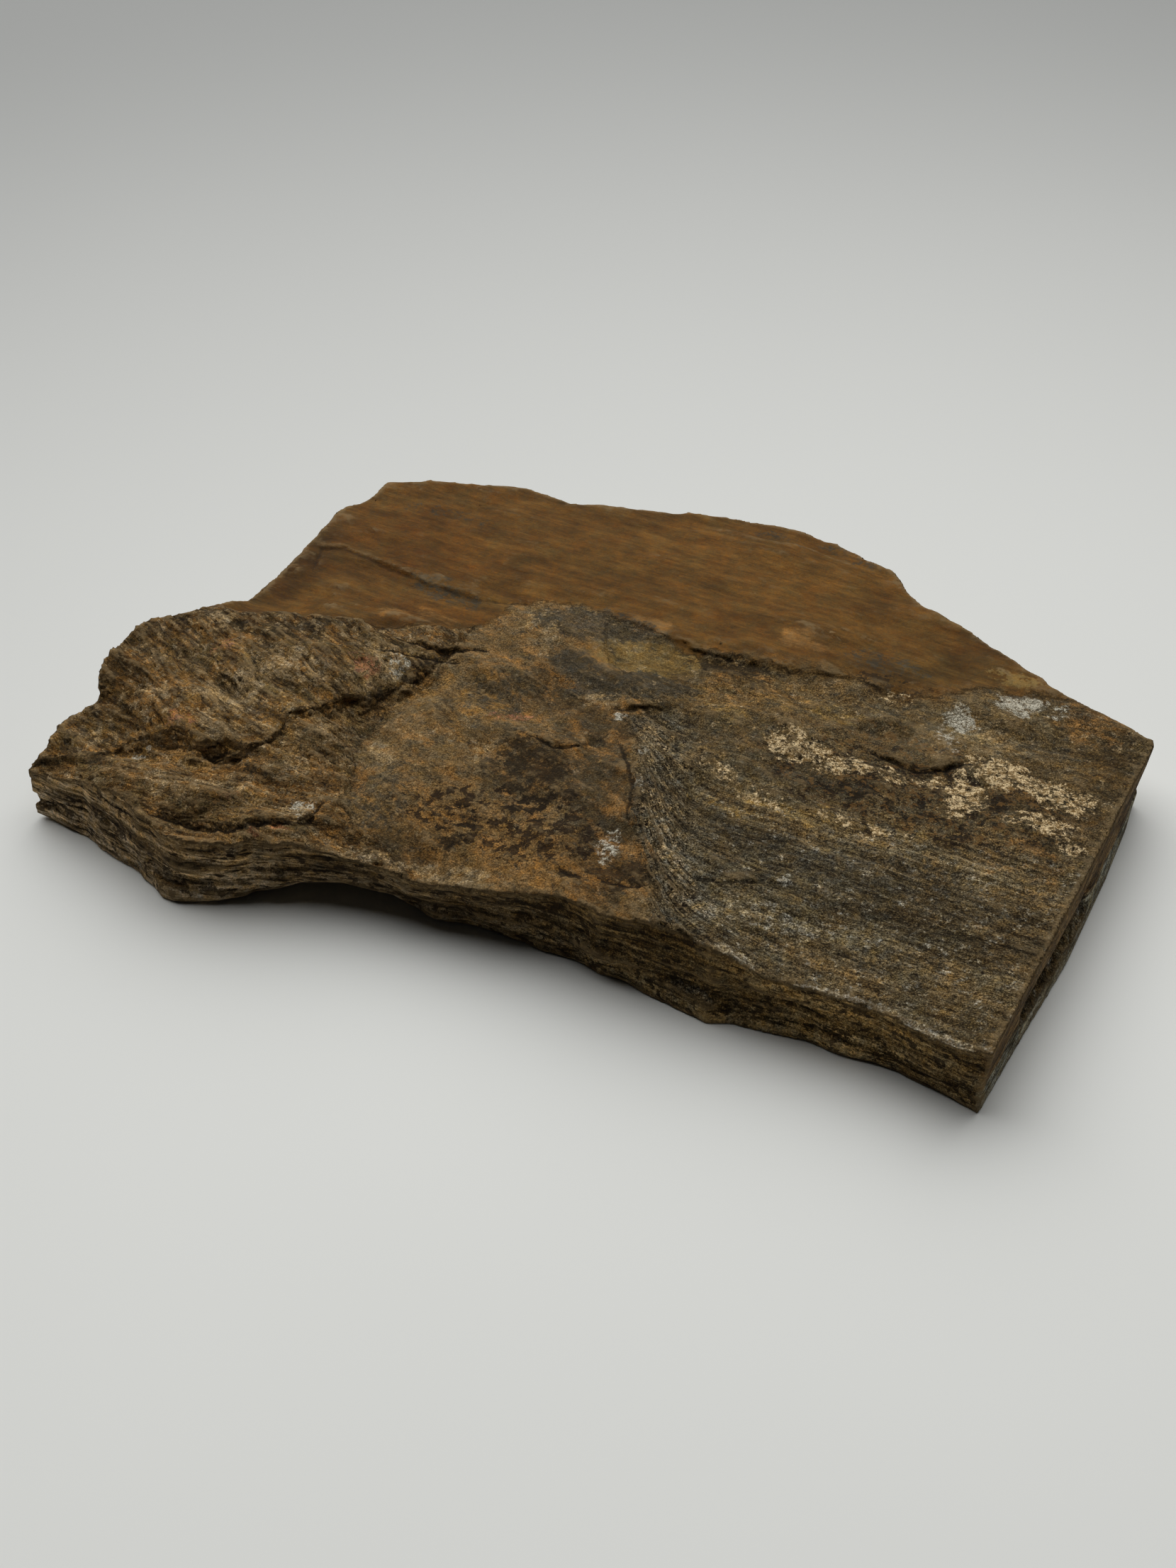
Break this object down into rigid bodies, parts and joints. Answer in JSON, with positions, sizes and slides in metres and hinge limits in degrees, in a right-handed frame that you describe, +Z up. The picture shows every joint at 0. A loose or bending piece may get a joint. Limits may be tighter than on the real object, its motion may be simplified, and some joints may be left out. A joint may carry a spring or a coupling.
{
  "type": "natural flagstone",
  "caption": "Irregular slab of banded schist with one sawn end, broken edges, a raised hummocky corner and a flat underside to lie on.",
  "frame": {"origin": "centre of the bounding box in plan, at the flat underside", "axes": "+X along the length towards the sawn end, +Y across the slab away from its long front edge, +Z up through the layers"},
  "size_m": [0.3264, 0.2622, 0.0371],
  "materials": {
    "rock": "rough split face, rust-brown iron staining over grey and olive mica schist, cream feldspar and white quartz patches, dull with faint mica glint"
  },
  "bodies": {
    "root": {"flagstone": "rock"}
  },
  "joints": []
}
